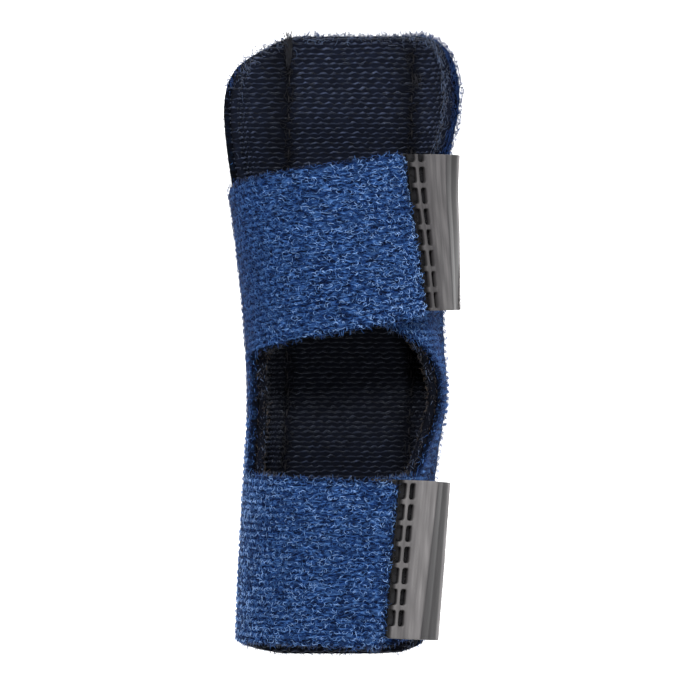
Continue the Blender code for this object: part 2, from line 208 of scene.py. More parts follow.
def roll(around, along, out):
    """Places on the rolled splint of points of the flat sheet, out millimetres outside the CAD's surface."""
    around, along, out = (np.ravel(a).astype(float) for a in np.broadcast_arrays(around, along, out))
    sizes = smooth_rows(SECTIONS[:, 1:], SECTIONS[:, 0] * SPLINT_LENGTH, along).T
    shift, left, right = sizes[:3] * FLANK_BULGE
    depth, side = sizes[3] * TUBE_DEPTH, sizes[4] * SIDE_HEIGHT
    marks = np.interp(TUCKS[:, 0], range(len(TUCK_MARKS)), TUCK_MARKS)
    tuck = FULL_TUCK * np.clip(smooth_rows(TUCKS[:, 1:], marks, along)[:, 0], 0.0, 1.0)
    turn = turn_of(around)
    wrapped = np.where(turn < -3, turn + 6, turn)
    hand = np.where(wrapped >= 0, 1.0, -1.0)
    quarter = np.abs(wrapped)
    bulge = np.where(hand > 0, right, left)
    low = full_corner((2 - np.clip(quarter, 1, 2)) * math.pi / 2, bulge, side)
    high = full_corner((np.clip(quarter, 2, 3) - 2) * math.pi / 2, HALF_PALM + bulge, depth - side)
    cases = [quarter <= 1, quarter <= 2]
    x = np.select(cases, [HALF_PALM * quarter, HALF_PALM + low[0]], high[0])
    z = np.select(cases, [0.0 * quarter, side - low[1]], side + high[1])
    dx = np.select(cases, [1.0 + 0.0 * quarter, -low[2]], high[2])
    dz = np.select(cases, [0.0 * quarter, low[3]], high[3])
    size = np.hypot(dx, dz)
    nx, nz = hand * dz / size, -dx / size
    sink = np.where(turn > 0, tuck * ease((turn - TUCK_START) / (TUCK_END - TUCK_START)), 0.0)
    off = out - sink
    return np.stack([shift + hand * x + off * nx, along - SPLINT_LENGTH / 2, z + off * nz], axis=-1)


# Laying out the flat pattern


class Strap:
    """A straight strap on the flat sheet: it leaves the left side at root and rises to its end."""

    def __init__(self, root, angle, end, slant, offset, skew):
        self.reach = np.array((-math.cos(angle), math.sin(angle)))
        self.across = np.array((math.sin(angle), math.cos(angle)))
        self.slant = math.tan(slant)
        self.offset = offset
        self.drift = math.tan(skew)
        start = np.array((-arc(FLANK_EDGE), root + STRAP_WIDTH / 2 / math.cos(angle)))
        self.end = start + self.reach * (arc(end) - arc(FLANK_EDGE)) / math.cos(angle)

    def corner(self, side, back=0.0):
        out = side * STRAP_WIDTH / 2
        return self.end + self.across * out + self.reach * (out * self.slant - back)

    def edge(self, side, around):
        corner = self.corner(side)
        return corner[1] + (around - corner[0]) * self.reach[1] / self.reach[0]

    def place(self, beyond, across):
        """Points of the flat sheet this far beyond the strap's end and along the tab."""
        along = self.offset + across + self.drift * np.maximum(beyond, 0.0)
        slant = self.slant * np.minimum(1.0, 1.0 - beyond / TAB_WIDTH)
        return (
            self.end
            + np.multiply.outer(beyond + along * slant, self.reach)
            + np.multiply.outer(along, self.across)
        )

    def seen_from_end(self, around, along):
        """How far points of the right side lie beyond and across the end of the strap above them."""
        off = np.stack([around - 2 * ARC_MARKS[3], along], axis=-1) - self.end
        across = off @ self.across
        return off @ self.reach - self.slant * across, across


LOWER_STRAP = Strap(
    LOWER_STRAP_RISE, LOWER_STRAP_ANGLE, LOWER_STRAP_END, LOWER_END_SLANT, LOWER_TAB_OFFSET, LOWER_TAB_SKEW,
)
WINDOW_BASE = LOWER_STRAP.edge(1, -arc(NOTCH_LEFT))
UPPER_STRAP = Strap(
    WINDOW_BASE + WINDOW_HEIGHT, UPPER_STRAP_ANGLE, UPPER_STRAP_END, UPPER_END_SLANT,
    UPPER_TAB_OFFSET, UPPER_TAB_SKEW,
)
WINDOW_TOP = UPPER_STRAP.edge(-1, -arc(FLANK_EDGE))
WING_SPLIT = WINDOW_TOP + WINDOW_CURVE_RADIUS * 0.85
WING_TOP = WING_SPLIT + WING_SHOULDER
TUCK_MARKS = (0.0, WINDOW_BASE, WING_SPLIT, WING_TOP, WING_TOP + TUCK_FADE)
STRAPS = (("upper", UPPER_STRAP, UPPER_FIRST_HOLE), ("lower", LOWER_STRAP, LOWER_FIRST_HOLE))


def sheet_corners(strap_cut):
    """Corners of the flat sheet, counter-clockwise, each with its rounding radius."""
    left_notch, right_notch = -arc(NOTCH_LEFT), arc(NOTCH_RIGHT)
    flank, tip_flank, wing = arc(FLANK_EDGE), arc(TIP_EDGE), arc(WING_TIP)
    return (
        (-flank, LOWER_STRAP.edge(-1, -flank), BASE_CORNER_RADIUS),
        (-HALF_PALM, 0.0, BASE_CORNER_RADIUS),
        (HALF_PALM, 0.0, BASE_CORNER_RADIUS),
        (flank, FLANK_BASE_RISE, BASE_CORNER_RADIUS),
        (wing, WING_BASE_RISE / 2, CUT_CORNER_RADIUS),
        (wing, WINDOW_BASE - WING_BASE_RISE / 2, CUT_CORNER_RADIUS),
        (right_notch, WINDOW_BASE, WINDOW_CURVE_RADIUS * 0.6),
        (right_notch, WINDOW_TOP, WINDOW_CURVE_RADIUS),
        (wing, WING_SPLIT, CUT_CORNER_RADIUS),
        (wing, WING_TOP, CUT_CORNER_RADIUS),
        (tip_flank, WING_TOP, CUT_CORNER_RADIUS),
        (tip_flank, SPLINT_LENGTH, TIP_RIGHT_RADIUS),
        (-HALF_PALM, SPLINT_LENGTH, TIP_LEFT_RADIUS / 2),
        (-tip_flank, SPLINT_LENGTH - TIP_LEFT_DROP, TIP_LEFT_RADIUS),
        (-tip_flank, UPPER_STRAP.edge(1, -tip_flank), CUT_CORNER_RADIUS),
        (*UPPER_STRAP.corner(1, strap_cut), CUT_CORNER_RADIUS),
        (*UPPER_STRAP.corner(-1, strap_cut), CUT_CORNER_RADIUS),
        (left_notch, UPPER_STRAP.edge(-1, left_notch), CUT_CORNER_RADIUS),
        (left_notch, WINDOW_BASE, CUT_CORNER_RADIUS),
        (*LOWER_STRAP.corner(1, strap_cut), CUT_CORNER_RADIUS),
        (*LOWER_STRAP.corner(-1, strap_cut), CUT_CORNER_RADIUS),
    )


def rounded(corners, turn_step=math.radians(9)):
    """Outline points: each corner is replaced by an arc of its radius, cut short where a side is short."""
    points = []
    count = len(corners)
    for i, (x, y, radius) in enumerate(corners):
        here = Vector((x, y))
        before = Vector(corners[i - 1][:2]) - here
        after = Vector(corners[(i + 1) % count][:2]) - here
        half = before.angle(after) / 2
        cut = min(radius / math.tan(half), 0.48 * min(before.length, after.length))
        radius = cut * math.tan(half)
        middle = here + (before.normalized() + after.normalized()).normalized() * radius / math.sin(half)
        start = here + before.normalized() * cut - middle
        sweep = start.angle_signed(here + after.normalized() * cut - middle)
        steps = max(1, math.ceil(abs(sweep) / turn_step))
        for k in range(steps + 1):
            turn = -sweep * k / steps
            c, s = math.cos(turn), math.sin(turn)
            points.append((middle.x + c * start.x - s * start.y, middle.y + s * start.x + c * start.y))
    return np.array(points)


def split_long(ring, step):
    """The same ring with a point at least every step along its sides."""
    points = []
    for a, b in zip(ring, np.roll(ring, -1, axis=0)):
        count = max(1, math.ceil(float(np.hypot(*(b - a))) / step))
        points += [a + (b - a) * k / count for k in range(count)]
    return np.array(points)


def inside(points, ring):
    """Which points lie inside a ring."""
    x, y = points[:, 0], points[:, 1]
    found = np.zeros(len(points), bool)
    for (x0, y0), (x1, y1) in zip(ring, np.roll(ring, -1, axis=0)):
        if y0 != y1:
            crosses = (y0 > y) != (y1 > y)
            found ^= crosses & (x < (x1 - x0) * (y - y0) / (y1 - y0) + x0)
    return found


def within(points, rings):
    """Which points lie inside the first ring and outside the others."""
    keep = inside(points, rings[0])
    for ring in rings[1:]:
        keep &= ~inside(points, ring)
    return keep


def edge_distance(points, rings):
    """How far each point lies from the nearest ring."""
    best = np.full(len(points), 1e9)
    for ring in rings:
        for a, b in zip(ring, np.roll(ring, -1, axis=0)):
            along = b - a
            t = np.clip(((points - a) @ along) / max(float(along @ along), 1e-12), 0, 1)
            best = np.minimum(best, np.linalg.norm(points - a - t[:, None] * along, axis=1))
    return best


def wobble(a, b, scale, seed):
    """Smooth noise from -1 to 1 over two coordinates: a few sine waves that don't repeat together."""
    own = np.random.default_rng(seed)
    total = np.zeros(np.broadcast(a, b).shape)
    for _ in range(7):
        turn = own.uniform(0, TURN)
        pitch = scale * own.uniform(0.6, 1.7)
        wave = (a * math.cos(turn) + b * math.sin(turn)) * TURN / pitch
        total = total + np.sin(wave + own.uniform(0, TURN))
    return total / 4.0


# Meshes


def new_mesh(name, points, faces, look, tint):
    """Object from arrays: points in millimetres, faces a list of arrays of three or four corners each."""
    mesh = bpy.data.meshes.new(name)
    points = np.asarray(points, float) * 0.001
    mesh.vertices.add(len(points))
    mesh.vertices.foreach_set("co", points.ravel())
    corners = np.concatenate([f.ravel() for f in faces])
    sizes = np.concatenate([np.full(len(f), f.shape[1]) for f in faces])
    mesh.loops.add(len(corners))
    mesh.loops.foreach_set("vertex_index", corners.astype(np.int32))
    mesh.polygons.add(len(sizes))
    starts = np.concatenate([[0], np.cumsum(sizes)[:-1]])
    mesh.polygons.foreach_set("loop_start", starts.astype(np.int32))
    mesh.update(calc_edges=True)
    mesh.validate()
    layer = mesh.color_attributes.new(name="tint", type="FLOAT_COLOR", domain="POINT")
    layer.data.foreach_set("color", np.repeat(np.clip(tint, 0, 1)[:, None], 4, axis=1).ravel())
    mesh.shade_smooth()
    mesh.materials.append(look)
    obj = bpy.data.objects.new(name, mesh)
    bpy.context.scene.collection.objects.link(obj)
    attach(obj, "root")
    return obj


def outward(points, triangles):
    """The triangles of a closed surface, turned so that they face out."""
    a, b, c = (points[triangles[:, i]] for i in range(3))
    volume = float((a * np.cross(b, c)).sum())
    return triangles if volume > 0 else triangles[:, ::-1]


def plate(name, rings, fill, place, look, tint, edge_step, crease=None):
    """Closed sheet on the first ring, with the other rings as holes.

    place(points, depth, upper) gives the places of the flat points on the upper or lower face, and tint how
    light they are; depth is each point's distance from the nearest edge.
    """
    rings = [split_long(ring, edge_step) for ring in rings]
    verts, edges = [], []
    for ring in rings:
        start = len(verts)
        verts += [Vector(p) for p in ring]
        edges += [(start + i, start + (i + 1) % len(ring)) for i in range(len(ring))]
    verts += [Vector(p) for p in fill[within(fill, rings)]]
    made, _, faces, *_ = delaunay_2d_cdt(verts, edges, [], 0, 1e-5)
    flat = np.array([tuple(v) for v in made])
    faces = np.array([f for f in faces if len(f) == 3])
    keep = within(flat[faces].mean(axis=1), rings)
    a, b, c = (flat[faces[:, i]] for i in range(3))
    size = np.abs((b - a)[:, 0] * (c - a)[:, 1] - (b - a)[:, 1] * (c - a)[:, 0])
    faces = faces[keep & (size > 1e-9)]
    used, index = np.unique(faces, return_inverse=True)
    flat, faces = flat[used], index.reshape(faces.shape)
    depth = edge_distance(flat, rings)
    upper, lower = place(flat, depth, True), place(flat, depth, False)
    count = len(flat)
    sides = np.concatenate([faces[:, [0, 1]], faces[:, [1, 2]], faces[:, [2, 0]]])
    seen = {}
    for i, j in sides.tolist():
        key = (i, j) if i < j else (j, i)
        seen[key] = None if key in seen else (i, j)
    rim = np.array([e for e in seen.values() if e])
    wall = np.stack([rim[:, 0], rim[:, 0] + count, rim[:, 1] + count, rim[:, 1]], axis=1)
    walls = np.concatenate([wall[:, [0, 1, 2]], wall[:, [0, 2, 3]]])
    points = np.concatenate([upper, lower])
    triangles = outward(points, np.concatenate([faces, faces[:, ::-1] + count, walls]))
    shade = np.concatenate([tint(flat, depth, True), tint(flat, depth, False)])
    obj = new_mesh(name, points, [triangles], look, shade)
    if crease:
        obj.data.set_sharp_from_angle(angle=math.radians(crease))
    return obj


def grid_points(x0, x1, y0, y1, dx, dy, jitter=0.0):
    """Grid whose every other row is shifted by half a step, each point moved a little at random."""
    xs, ys = np.arange(x0, x1, dx), np.arange(y0, y1, dy)
    xx, yy = np.meshgrid(xs, ys)
    xx[1::2] += dx / 2
    points = np.stack([xx.ravel(), yy.ravel()], axis=1)
    return points + rng.uniform(-jitter, jitter, points.shape)


def tubes(paths, radii, sides=3):
    """Closed tubes along many paths at once: paths (count, points, 3) and radii (count, points).

    No tube goes below the floor, z = 0.
    """
    count, steps, _ = paths.shape
    paths = np.concatenate([paths[..., :2], np.maximum(paths[..., 2:], radii[..., None])], axis=2)
    ahead = np.gradient(paths, axis=1)
    ahead /= np.linalg.norm(ahead, axis=2, keepdims=True) + 1e-12
    lean = np.where(np.abs(ahead[..., 2:]) < 0.8, np.array([0.0, 0.0, 1.0]), np.array([1.0, 0.0, 0.0]))
    side = np.cross(ahead, lean)
    side /= np.linalg.norm(side, axis=2, keepdims=True) + 1e-12
    up = np.cross(side, ahead)
    rings = []
    for k in range(sides):
        turn = TURN * k / sides + math.pi / 2
        rings.append(paths + radii[..., None] * (math.cos(turn) * side + math.sin(turn) * up))
    points = np.stack(rings, axis=2)  # count, steps, sides, 3
    index = np.arange(count * steps * sides).reshape(count, steps, sides)
    here, there = index[:, :-1], index[:, 1:]
    quads = np.stack([here, np.roll(here, -1, 2), np.roll(there, -1, 2), there], axis=-1).reshape(-1, 4)
    first, last = index[:, 0], index[:, -1][:, ::-1]
    caps = [[0, k, k + 1] for k in range(1, sides - 1)]
    return points.reshape(-1, 3), [quads[:, ::-1]] + [end[:, cap] for end in (first, last) for cap in caps]


def rolled_tubes(around, along, out, radii, sides=3):
    """Tubes whose paths are given as points of the flat sheet."""
    return tubes(roll(around, along, out).reshape(*radii.shape, 3), radii, sides)


def joined(parts):
    """One list of points and faces from several."""
    points, faces, start = [], [], 0
    for own, polygons in parts:
        points.append(own)
        faces += [f + start for f in polygons]
        start += len(own)
    return np.concatenate(points), faces


# Materials


def node(tree, kind, **values):
    made = tree.nodes.new(kind)
    for key, value in values.items():
        if key in made.inputs:
            made.inputs[key].default_value = value
        else:
            setattr(made, key, value)
    return made


def surface_material(name, roughness, specular, sheen=0.0, sheen_tint=(1, 1, 1)):
    made = bpy.data.materials.new(name)
    made.use_nodes = True
    tree = made.node_tree
    shader = tree.nodes["Principled BSDF"]
    shader.inputs["Roughness"].default_value = roughness
    shader.inputs["Specular IOR Level"].default_value = specular
    shader.inputs["Sheen Weight"].default_value = sheen
    shader.inputs["Sheen Tint"].default_value = (*sheen_tint, 1)
    return made, tree, shader


def object_noise(tree, scale, detail, stretch=(1.0, 1.0, 1.0), lean=0.0):
    """Noise in the object's own metres, drawn out along an axis by stretch and turned about z by lean."""
    place = node(tree, "ShaderNodeTexCoord")
    mapping = node(tree, "ShaderNodeMapping", Scale=stretch, Rotation=(0.0, 0.0, lean))
    tree.links.new(place.outputs["Object"], mapping.inputs["Vector"])
    noise = node(tree, "ShaderNodeTexNoise", Scale=scale, Detail=detail)
    tree.links.new(mapping.outputs["Vector"], noise.inputs["Vector"])
    return noise.outputs["Fac"]


def ramp(tree, source, stops):
    made = node(tree, "ShaderNodeValToRGB")
    elements = made.color_ramp.elements
    while len(elements) < len(stops):
        elements.new(0.5)
    for element, (place, colour) in zip(elements, stops):
        element.position = place
        element.color = (*colour, 1)
    tree.links.new(source, made.inputs["Fac"])
    return made.outputs["Color"]


def grey_ramp(tree, source, *stops):
    return ramp(tree, source, [(place, (level,) * 3) for place, level in stops])


def tint_of(tree):
    return node(tree, "ShaderNodeAttribute", attribute_name="tint").outputs["Fac"]


def multiplied(tree, a, b):
    made = node(tree, "ShaderNodeMix", data_type="RGBA", blend_type="MULTIPLY")
    made.inputs[0].default_value = 1.0
    tree.links.new(a, made.inputs[6])
    tree.links.new(b, made.inputs[7])
    return made.outputs[2]


def bump(tree, shader, source, strength, distance):
    made = node(tree, "ShaderNodeBump", Strength=strength, Distance=distance)
    tree.links.new(source, made.inputs["Height"])
    tree.links.new(made.outputs["Normal"], shader.inputs["Normal"])


def tinted_material(name, stops, roughness, patch_scale, patch_low, patch_high, **more):
    """Colour from the mesh's own tint, made a little lighter and darker in patches."""
    made, tree, shader = surface_material(name, roughness, **more)
    base = ramp(tree, tint_of(tree), stops)
    patches = grey_ramp(tree, object_noise(tree, patch_scale, 2.0), (0.35, patch_low), (0.65, patch_high))
    tree.links.new(multiplied(tree, base, patches), shader.inputs["Base Color"])
    return made


def pile_ground_cloth():
    """Deep blue cloth under the loops, streaked by two sets of fine crossing threads."""
    made, tree, shader = surface_material("pile_ground_cloth", 0.95, specular=0.05)
    base = grey_ramp(tree, tint_of(tree), (0.0, 0.03), (0.5, 0.60), (1.0, 1.10))
    most = node(tree, "ShaderNodeMath", operation="MAXIMUM")
    for socket, lean in zip(most.inputs, (0.45, -0.6)):
        tree.links.new(object_noise(tree, 4200.0, 1.5, (0.28, 1.0, 0.6), lean), socket)
    fibres = ramp(
        tree, most.outputs[0],
        ((0.46, (0.0008, 0.0036, 0.018)), (0.58, (0.0060, 0.026, 0.105)), (0.72, (0.055, 0.130, 0.31))),
    )
    tree.links.new(multiplied(tree, base, fibres), shader.inputs["Base Color"])
    bump(tree, shader, most.outputs[0], 0.6, 0.00012)
    return made


pile_ground = pile_ground_cloth()
pile_yarn = tinted_material(
    "pile_loop_yarn",
    (
        (0.0, (0.0018, 0.006, 0.030)), (0.4, (0.0080, 0.035, 0.140)),
        (0.75, (0.050, 0.136, 0.355)), (1.0, (0.24, 0.40, 0.72)),
    ),
    0.6, 330.0, 0.85, 1.12, specular=0.10, sheen=0.03, sheen_tint=(0.45, 0.65, 1.0),
)
lining_ground = tinted_material(
    "lining_ground_cloth",
    ((0.0, (0.0008, 0.0011, 0.0024)), (1.0, (0.0035, 0.0050, 0.011))),
    0.95, 700.0, 0.8, 1.15, specular=0.05,
)
lining_yarn = tinted_material(
    "lining_rib_yarn",
    ((0.0, (0.0009, 0.0013, 0.003)), (0.5, (0.0066, 0.0098, 0.0215)), (1.0, (0.024, 0.032, 0.060))),
    0.8, 420.0, 0.8, 1.2, specular=0.12, sheen=0.06, sheen_tint=(0.7, 0.8, 1.0),
)
edge_yarn = tinted_material(
    "cut_edge_yarn",
    (
        (0.0, (0.003, 0.0045, 0.009)), (0.4, (0.011, 0.018, 0.040)),
        (0.7, (0.024, 0.045, 0.10)), (1.0, (0.085, 0.13, 0.23)),
    ),
    0.75, 500.0, 0.8, 1.2, specular=0.15, sheen=0.1,
)
stitch_yarn = tinted_material(
    "seam_thread",
    ((0.0, (0.002, 0.002, 0.003)), (0.6, (0.009, 0.010, 0.015)), (1.0, (0.070, 0.055, 0.042))),
    0.7, 600.0, 0.8, 1.2, specular=0.2,
)
hook_plastic = tinted_material(
    "hook_field_plastic",
    ((0.0, (0.001, 0.001, 0.0015)), (0.6, (0.004, 0.004, 0.005)), (1.0, (0.022, 0.021, 0.022))),
    0.55, 500.0, 0.8, 1.2, specular=0.15,
)


def moulded_plastic():
    """Grey satin plastic with fine streaks along the tab, painted in as soft reflections."""
    made, tree, shader = surface_material("tab_moulded_plastic", 0.40, specular=0.04)
    base = ramp(tree, tint_of(tree), (
        (0.0, (0.003, 0.003, 0.0032)), (0.5, (0.032, 0.0305, 0.032)),
        (0.85, (0.120, 0.115, 0.116)), (1.0, (0.30, 0.29, 0.29)),
    ))
    streaks = grey_ramp(tree, object_noise(tree, 1500.0, 3.0, (1.0, 0.12, 1.0)), (0.3, 0.86), (0.7, 1.1))
    tree.links.new(multiplied(tree, base, streaks), shader.inputs["Base Color"])
    bump(tree, shader, object_noise(tree, 2200.0, 2.0), 0.12, 0.00005)
    return made


tab_plastic = moulded_plastic()


# The laminate's two sheets


STITCH_PITCH = 2.4
SEAM_MARGIN = 2.5
INNER = -SHELL_THICKNESS - LAYER_GAP - LINING_THICKNESS  # the lining's face towards the finger
LEFT_END, RIGHT_END = -50.0, 40.0  # the flat sheets lie between these


def seam_wander(v, side):
    """How far a seam strays from its line."""
    return 0.18 * wobble(v, 0 * v + side, 7.0, 9)


def seam_dip(s, v, width=0.80):
    """How deep the two seams beside the palm panel pull the lining in, 0 to 1."""
    pull = 0.80 + 0.13 * np.sin(TURN * v / STITCH_PITCH) + 0.14 * wobble(v, 0 * v, 3.0, 5)
    off = np.abs(np.abs(s) - HALF_PALM - seam_wander(v, np.sign(s)))
    reach = ease((SPLINT_LENGTH - 1.0 - v) / 2.0) * ease((v - 1.0) / 2.0)
    return np.exp(-((off / width) ** 2)) * pull * reach


def seam_shade(s, v):
    """How dark the lining is beside its seams, 0 to 1: a narrow line in a wide, uneven shadow."""
    wide = np.exp(-(((s + HALF_PALM + 0.8) / 1.7) ** 2))
    wide = wide + np.exp(-(((s - HALF_PALM + 0.5) / 1.8) ** 2))
    wide = wide * (0.72 + 0.22 * wobble(1.6 * s, v, 2.6, 71))
    return np.clip(np.maximum(1.3 * seam_dip(s, v, 0.55), wide), 0, 1)


def crease_dip(s, v):
    """A short crease across the right seam, near the fingertip end."""
    line = 73.3 + 0.25 * np.sin(s * 0.9)
    span = ease((s - 5.4) / 1.2) * ease((10.6 - s) / 1.2)
    return np.exp(-(((v - line) / 0.28) ** 2)) * span


def window_shade(v):
    """Painted shade, 0 to 1: how much darker the lining is drawn below the straps, which shade it, than at
    the open fingertip end.
    """
    return ease((WING_TOP - v) / 4.0) * (0.42 + 0.46 * ease((v - WINDOW_BASE) / 10.0))


def palm_side(s):
    """1 on the flat palm panel, falling to 0 on the flanks."""
    return 1 - ease((np.abs(s) - HALF_PALM) / 1.5)


def smooth_flank(s):
    """1 on the outer left flank, where the pile lies flat and the silhouette is smooth."""
    turn = turn_of(s)
    return ease((-turn - 1.0) / 0.3) * ease((2.65 + turn) / 0.5)


def right_flank(s):
    """1 on the outer right flank, which lies in shade."""
    turn = turn_of(s)
    return ease((turn - 1.5) / 0.3) * ease((2.5 - turn) / 0.3)


def upper_part(v):
    """1 on the upper strap and beyond it, 0 on the lower strap."""
    return ease((v - WINDOW_BASE) / 12.0)


def tip_left(s, v):
    """1 on the left flank at the fingertip end, where the cut edge is dark."""
    above = v - UPPER_STRAP.edge(1, s)
    return ease((above + 0.3) / 0.6) * ease((-s - HALF_PALM - 1.5) / 3.0)


def painted_strap_light(s, v):
    """Painted light: how much lighter the pile is drawn on the lower strap and towards the upper strap's end,
    where more light falls.
    """
    upper = upper_part(v)
    return 1 + 0.09 * (1 - upper) + 0.15 * upper * ease((-s - 28.0) / 14.0)


def ground_depth(s):
    """How far the pile's ground cloth lies below the tips of its loops."""
    return 0.36 - 0.22 * smooth_flank(s) - 0.10 * palm_side(s)


def pucker(s, v):
    """Swelling of the lining beside its seams, where the stitches gather it."""
    off = np.abs(np.abs(s) - HALF_PALM)
    return np.exp(-(((off - 1.5) / 0.8) ** 2)) * (0.6 + 0.4 * np.sin(TURN * v / STITCH_PITCH))


def pile_sheet(ring):
    """The shell's cloth, on which the loops stand."""

    def place(p, depth, upper):
        s, v = p.T
        edge = 0.22 * (1 - ease(depth / 0.5))
        if upper:
            rough = 0.07 * wobble(s, v, 0.9, 21) + 0.04 * wobble(s, v, 2.7, 22)
            return roll(s, v, -ground_depth(s) - edge + rough * (1 - 0.7 * smooth_flank(s)))
        return roll(s, v, -SHELL_THICKNESS + 0.5 * edge)

    def tint(p, depth, upper):
        shade = (0.5 + 0.32 * wobble(*p.T, 1.1, 23)) * (0.15 + 0.85 * ease(depth / 0.5))
        # Nearly black on the fingertip end's left flank, and painted shade on the right flank.
        shade = shade * (1 - 0.97 * tip_left(*p.T)) * (1 - 0.20 * right_flank(p[:, 0]))
        return shade if upper else 0 * shade

    fill = grid_points(LEFT_END, RIGHT_END, 0, SPLINT_LENGTH, 0.84, 0.78, 0.06)
    piece = plate("pile_sheet", [ring], fill, place, pile_ground, tint, 0.6)
    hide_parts("shell")
    return piece


def lining_sheet(ring):
    """The lining's cloth, drawn in by the seams."""

    def place(p, depth, upper):
        s, v = p.T
        edge = 0.25 * (1 - ease(depth / 0.6))
        if upper:  # the side towards the pile sheet
            return roll(s, v, -SHELL_THICKNESS - 0.03 - 0.4 * edge)
        dip = 0.80 * seam_dip(s, v) + 0.3 * crease_dip(s, v) - 0.16 * pucker(s, v)
        rough = 0.05 * wobble(s, v, 1.3, 31)
        return roll(s, v, INNER + 0.10 + edge + dip + rough)

    def tint(p, depth, upper):
        shade = 0.55 + 0.2 * wobble(*p.T, 1.2, 33)
        # Painted shade beside the seams and under the straps.
        return shade * (1 - seam_shade(*p.T)) * (1 - window_shade(p[:, 1]))

    fill = grid_points(LEFT_END, RIGHT_END, 0, SPLINT_LENGTH, 0.74, 0.8, 0.04)
    piece = plate("lining_sheet", [ring], fill, place, lining_ground, tint, 0.6)
    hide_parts("lining")
    return piece


# Ribs of the knit


RIB_PITCH = 0.645
RIB_WAVE = 1.36
SHORTEST_RIB = 6  # points
OVER_EDGE = 7  # points of a rib that run over the cut edge


def lining_ribs(ring):
    """Rows of wavy ribs across the lining, each swelling and thinning like the knit's loops."""
    parts, tints, phase = [], [], 0.0
    rows = np.arange(0.35, SPLINT_LENGTH - 0.1, RIB_PITCH)
    step = RIB_WAVE / 4
    for v_row in rows:
        s = np.arange(LEFT_END, RIGHT_END, step)
        phase += math.pi + 0.8 * rng.normal()
        v = v_row + 0.07 * wobble(s, 0 * s + v_row, 7.0, 41) + 0.045 * wobble(s, 0 * s + 9.7 * v_row, 2.1, 42)
        place = np.stack([s, v], axis=1)
        clear = inside(place, ring) & (edge_distance(place, [ring]) > 0.06)
        turns = np.flatnonzero(np.diff(np.concatenate([[0], clear.astype(int), [0]])))
        for start, end in zip(turns[::2], turns[1::2]):
            if end - start < SHORTEST_RIB:
                continue
            ss = s[start:end]
            wave = TURN * ss / RIB_WAVE + phase + 1.3 * wobble(ss, 0 * ss + v_row, 4.0, 43)
            weight = 0.65 + 0.35 * wobble(ss, 0 * ss + v_row * 3.1, 2.2, 47)
            vv = v[start:end] + 0.135 * weight * np.sin(wave) + 0.03 * rng.normal(size=len(ss))
            swell = 0.5 + 0.5 * np.sin(wave + 0.9) * weight
            patch = 0.16 * wobble(ss, 5.3 * v_row + 0 * ss, 1.5, 49)
            seam = np.clip(seam_dip(ss, vv), 0, 1)
            dip = 0.86 * seam + 0.34 * crease_dip(ss, vv) - 0.16 * pucker(ss, vv)
            height = INNER + 0.12 - 0.05 * swell + dip + 0.03 * rng.normal(size=len(ss))
            radius = (0.125 + 0.095 * swell) * (1 - 0.4 * seam)
            radius[0] = radius[-1] = 0.05
            if ss[0] < -HALF_PALM - 2 and vv[0] > UPPER_STRAP.edge(1, ss[0]) - 0.2:
                over = np.linspace(-0.42, INNER - 0.02, OVER_EDGE)
                twist = np.sin(over * 4 + wave[0])
                starts = (
                    ss[0] - 0.10 - 0.02 * np.sin(over * 9), vv[0] + 0.10 * twist, over,
                    0.17 - 0.05 * np.sin(over * 5), 0.35 + 0.35 * twist, patch[0] + 0 * over,
                )
                rest = (ss, vv, height, radius, swell, patch)
                ss, vv, height, radius, swell, patch = (np.append(a, b[1:]) for a, b in zip(starts, rest))
            parts.append(rolled_tubes(ss, vv, height, radius[None]))
            # Painted highlight: the swollen middle of each knit loop is drawn lighter, with random tone on
            # top.
            shade = 0.06 + 0.92 * swell**1.4 + patch + 0.18 * rng.normal(size=len(ss))
            # Painted shade beside the seams and under the straps.
            shade = shade * (1 - 0.9 * seam_shade(ss, vv)) * (1 - window_shade(vv))
            tints.append(np.repeat(shade, 3))
    points, faces = joined(parts)
    new_mesh("lining_ribs", points, faces, lining_yarn, np.concatenate(tints))


# Pile loops

TOP_DENSITY = 13.0
LOOP_ROW = 0.86
LOOP_LENGTHS = (0.50, 1.05)
LOOP_BENDS = (1.4, 5.0)
LOOP_RADII = (0.022, 0.034)
BRIGHT_SHARE = 0.40
MOST_TRIANGLES = 190000  # in one piece


def covered(s, v):
    """Which points of the right side lie below a strap or its hook tape."""
    under = np.zeros(len(s), bool)
    for _, strap, _ in STRAPS:
        beyond, across = strap.seen_from_end(s, v)
        below = (beyond < HOOK_TAPE_WIDTH - HOOK_TAPE_LAP - 0.5) & (np.abs(across) < STRAP_WIDTH / 2 - 0.4)
        under |= (s > 0) & below
    return under


def pile_density(s, v):
    """Loops to a square millimetre: thick where the photograph shows them, thinner on the palm side."""
    turn = np.abs(turn_of(s))
    front = ease((turn - 1.9) / 0.5)
    thick = 1.0 + 3.2 * ease((turn - 1.3) / 0.5) + (TOP_DENSITY - 4.2) * front
    return np.where(covered(s, v), 0.0, thick)


def in_rows(p):
    """The same points, drawn a little together into rows that follow each strap."""
    s, v = p.T
    upper = v > (WINDOW_BASE + WINDOW_TOP) / 2
    slope = np.where(upper, math.tan(UPPER_STRAP_ANGLE), math.tan(LOWER_STRAP_ANGLE))
    level = v + np.minimum(s + arc(FLANK_EDGE), 0.0) * slope
    return np.stack([s, v + 0.17 * np.sin(TURN * level / LOOP_ROW)], axis=1)


def loop_places(ring):
    """Uneven grid of points inside the ring, thinned out where the pile is less dense."""
    pitch = TOP_DENSITY**-0.5
    low, high = ring.min(axis=0), ring.max(axis=0)
    p = grid_points(low[0], high[0], low[1], high[1], pitch, pitch, 0.5 * pitch)
    keep = rng.uniform(0, TOP_DENSITY, len(p)) < pile_density(*p.T)
    p = p[keep]
    return in_rows(p[inside(p, ring)])


def walked(angle, length):
    """Where fibres lead that head at these angles, one step to each."""
    step = length[:, None] / (angle.shape[1] - 1)
    return np.cumsum(np.cos(angle) * step, axis=1), np.cumsum(np.sin(angle) * step, axis=1)


